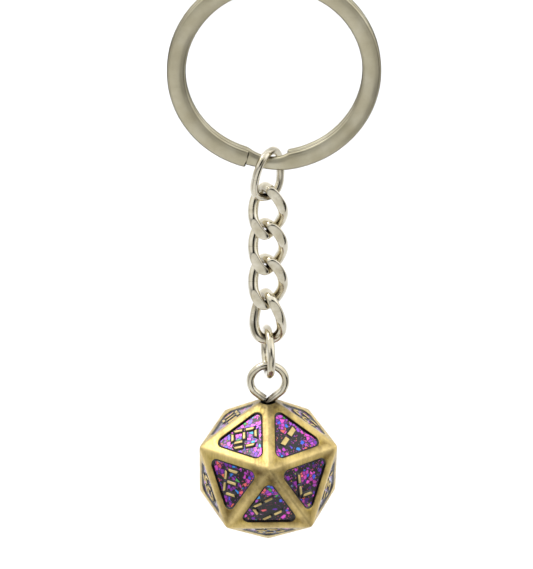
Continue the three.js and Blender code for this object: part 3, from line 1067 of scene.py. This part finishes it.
def large_flakes(shader, bare):
    """The main layer, densest in places and, as painted light, at the upper left: its mask, random and foil
    colours.
    """
    # painted light: more flakes towards the upper left brighten the faces that the key light falls on
    upper_left = shader.vector("DOT_PRODUCT", {0: shader.place(), 1: (-8, 0, 6)}, 1)
    crowd_and_painted_light = shader.sum(shader.noise(0.26, 2, 0.45), shader.ranged(upper_left, -0.55, -0.38, -0.03, 0.06))
    crowd_and_painted_light = shader.math("SUBTRACT", crowd_and_painted_light, shader.product(bare, 0.2))
    mask, random = flakes(shader, 0.6, 0)
    limit = shader.ranged(crowd_and_painted_light, 0.38, 0.58, 0.08, 0.92)
    shown = shader.math("LESS_THAN", channel(shader, random, "Red"), limit)
    foil = shader.ramp(channel(shader, random, "Green"), [
        (0.0, rgb(96, 38, 170)),
        (0.24, rgb(170, 54, 200)),
        (0.46, rgb(252, 84, 226)),
        (0.6, rgb(228, 80, 200)),
        (0.7, rgb(124, 74, 240)),
        (0.79, rgb(56, 100, 246)),
        (0.85, rgb(60, 200, 240)),
        (0.89, rgb(252, 120, 90)),
        (0.97, rgb(250, 96, 130)),
        (0.99, rgb(60, 190, 90)),
    ])
    return shader.product(mask, shown), random, foil


def small_flakes(shader, bare):
    """The fine flakes between the large ones: their mask and their foil colours."""
    mask, random = flakes(shader, 0.21, 31)
    rare = shader.math("GREATER_THAN", channel(shader, random, "Blue"), 0.82)
    foil = shader.ramp(channel(shader, random, "Red"), [
        (0.0, rgb(70, 36, 150)),
        (0.5, rgb(180, 50, 170)),
        (0.8, rgb(226, 84, 120)),
        (0.95, rgb(232, 150, 80)),
    ])
    return shader.product(mask, rare, shader.ranged(bare, 0, 1, 1, 0.2)), foil


def tipped_normal(shader, random):
    """The surface's normal, tipped a little for each flake in its own direction."""
    tilt = shader.vector("SUBTRACT", {0: random, 1: (0.5, 0.5, 0.5)})
    tilt = shader.vector("SCALE", {0: tilt, "Scale": 0.4})
    smooth = shader.add("ShaderNodeNewGeometry", {}, "Normal")
    return shader.vector("NORMALIZE", {0: shader.vector("ADD", {0: smooth, 1: tilt})})


def glitter_resin():
    """Clear resin over dark backing, full of violet, pink and blue foil flakes."""
    shader = Shader("glitter_resin")
    bare = shader.near(DIE_CENTRE + FACE_MATRICES[BARE_FACE].translation, 1.2, 3.2)
    mask, random, foil = large_flakes(shader, bare)
    small_mask, small_foil = small_flakes(shader, bare)
    base = shader.mix(shader.product(small_mask, 0.8), rgb(15, 10, 15), small_foil)
    foil_share = shader.math("MAXIMUM", mask, small_mask)
    shader.set(
        Base_Color=shader.mix(mask, base, foil),
        Metallic=shader.product(foil_share, 0.8),
        Roughness=shader.ranged(foil_share, 0, 1, 0.35, 0.3),
        Specular_IOR_Level=0.1,
        Normal=tipped_normal(shader, random),
        Coat_Weight=1.0,
        Coat_Roughness=0.06,
    )
    return shader.material


def black_residue():
    """The black lacquer at the foot of the walls, which also paints the shadow there."""
    shader = Shader("black_residue")
    grit = shader.noise(6.0, 4, 0.6)
    shader.set(
        Base_Color=shader.ramp(grit, [(0.3, rgb(9, 7, 8)), (0.7, rgb(26, 20, 20))]),
        Roughness=shader.ranged(grit, 0.3, 0.7, 0.3, 0.5),
        Specular_IOR_Level=0.1,
        Normal=shader.bump(grit, 0.01),
        Coat_Weight=1.0,
        Coat_Roughness=0.12,
    )
    return shader.material


def pale_floor():
    """Matt and nearly white."""
    shader = Shader("pale_floor")
    paper = shader.noise(0.05, 4, 0.5)
    base = shader.ramp(paper, [(0.3, rgb(218, 219, 221)), (0.7, rgb(224, 224, 226))])
    rough = shader.ranged(paper, 0.3, 0.7, 0.75, 0.85)
    shader.set(Base_Color=base, Roughness=rough, Normal=shader.bump(paper, 0.2))
    return shader.material


# ---- stage, in metres ----

FLOOR_DROP = 0.09        # below the lowest point of the keychain
FLOOR_X = (-0.6, 0.6)
FLOOR_Y = (-0.06, 0.8)


def floor():
    """A pale table top below and behind the hanging keychain."""
    mesh = bpy.data.meshes.new("floor")
    level = cad_box[0].z - FLOOR_DROP
    corners = [(x, y, level) for x in FLOOR_X for y in FLOOR_Y]
    mesh.from_pydata(corners, [], [(0, 2, 3, 1)])
    mesh.materials.append(pale_floor())
    piece = bpy.data.objects.new("floor", mesh)
    bpy.context.scene.collection.objects.link(piece)


def direction_to(azimuth, elevation):
    """The direction from the keychain to a place. Azimuth 0 is the front, and 90 is +X."""
    a = math.radians(azimuth)
    e = math.radians(elevation)
    return Vector((math.sin(a) * math.cos(e), -math.cos(a) * math.cos(e), math.sin(e)))


def softbox(name, place, facing, size, power, spread=180):
    """A flat light of a width and a height, with its power in watts, which shines along facing."""
    light = bpy.data.lights.new(name, "AREA")
    light.shape = "RECTANGLE"
    light.size, light.size_y = size
    light.energy = power
    light.spread = math.radians(spread)
    lamp = bpy.data.objects.new(name, light)
    bpy.context.scene.collection.objects.link(lamp)
    lamp.location = place
    lamp.rotation_mode = "QUATERNION"
    lamp.rotation_quaternion = facing.to_track_quat("-Z", "Y")


class Room(Nodes):
    """The world, as a level of light that depends on the direction."""

    def __init__(self):
        self.world = bpy.data.worlds.new("studio")
        self.world.use_nodes = True
        super().__init__(self.world.node_tree)
        self.direction = self.add("ShaderNodeTexCoord", {}, "Generated")

    def level(self, towards, stops):
        """A level from the cosine between a direction and towards, as (cosine, level) stops."""
        curve = self.nodes.new("ShaderNodeFloatCurve")
        points = curve.mapping.curves[0].points
        highest = max(level for _, level in stops)
        while len(points) < len(stops):
            points.new(0.5, 0.5)
        for point, (cosine, level) in zip(points, stops):
            point.location = ((cosine + 1) / 2, level / highest)
        curve.mapping.update()
        cosine = self.vector("DOT_PRODUCT", {0: self.direction, 1: towards}, 1)
        self.connect(curve.inputs["Value"], self.ranged(cosine, -1, 1))
        return self.product(curve.outputs[0], highest)

    def shine(self, level):
        """Lights the scene with a level; the camera itself sees plain white behind the keychain."""
        seen = self.add("ShaderNodeLightPath", {}, "Is Camera Ray")
        strength = self.add("ShaderNodeMix", {"Factor": seen, "A": level, "B": 1.0})
        background = self.nodes["Background"]
        self.connect(background.inputs["Color"], (1, 1, 1, 1))
        self.connect(background.inputs["Strength"], strength)
        bpy.context.scene.world = self.world


def studio():
    """A pale room: bright at the back, above, on the right and low in front, and dim elsewhere.

    Two dark things stand in it, the camera and something low at the front right. A lamp shines
    on the keychain from the upper left, and another one only on the table top behind it.
    """
    room = Room()
    back = room.level(direction_to(195, 0), [(-1, 0.3), (-0.3, 0.38), (0.2, 0.5), (0.6, 0.75), (1, 1.1)])
    above = room.level(direction_to(-90, 70), [(-1, 0), (0.2, 0.2), (0.55, 0.8), (0.8, 0.9), (1, 1)])
    right = room.level(direction_to(82, 30), [(-1, 0), (0.55, 0), (0.78, 0.7), (0.92, 1.05), (1, 1.1)])
    below = room.level(direction_to(0, -38), [(-1, 0), (0.55, 0), (0.8, 0.6), (0.93, 0.72), (1, 0.68)])
    shade = room.level(direction_to(42, -28), [(-1, 1), (0.91, 1), (0.953, 0.45), (0.978, 0.05), (1, 0.02)])
    lens = room.level(direction_to(0, 24), [(-1, 1), (0.9, 1), (0.945, 0.6), (0.97, 0.06), (1, 0.03)])
    bright = back
    for patch in (above, right, below):
        bright = room.math("MAXIMUM", bright, patch)
    room.shine(room.product(bright, shade, lens))
    middle = (cad_box[0] + cad_box[1]) / 2
    to_key = direction_to(-103, 55)
    softbox("key", middle + 0.7 * to_key, -to_key, size=(0.32, 0.32), power=1.1)
    over_floor = Vector((0, 0.33, cad_box[0].z + 0.42))
    softbox("backdrop", over_floor, Vector((0, 0, -1)), size=(0.26, 0.52), power=0.165, spread=20)


def camera():
    """Looks down at the middle of the keychain from the front."""
    data = bpy.data.cameras.new("camera")
    data.lens = 269.04
    data.sensor_width = 36
    data.clip_start = 0.01
    data.clip_end = 20
    eye = bpy.data.objects.new("camera", data)
    bpy.context.scene.collection.objects.link(eye)
    back = direction_to(-1.09, 25.36)
    aim = Vector((-0.00113, 0, -0.0485))
    distance = 0.65
    eye.location = aim + back * distance
    eye.rotation_mode = "QUATERNION"
    eye.rotation_quaternion = back.to_track_quat("Z", "Y")
    bpy.context.scene.camera = eye


# ---- the whole keychain ----

def keychain():
    """Every visible piece, from the ring down to the resin in the die."""
    nickel = bright_nickel()
    split_ring()
    end_link(nickel)
    for number in range(2, 6):
        curb_link(number, nickel)
    jump_ring(nickel)
    screw_eye(nickel)
    die_casting()
    fills = [glitter_resin(), black_residue()]
    for number in FACES:
        resin(number, fills)


keychain()
floor()
studio()
camera()
bpy.context.scene.view_settings.view_transform = "Standard"
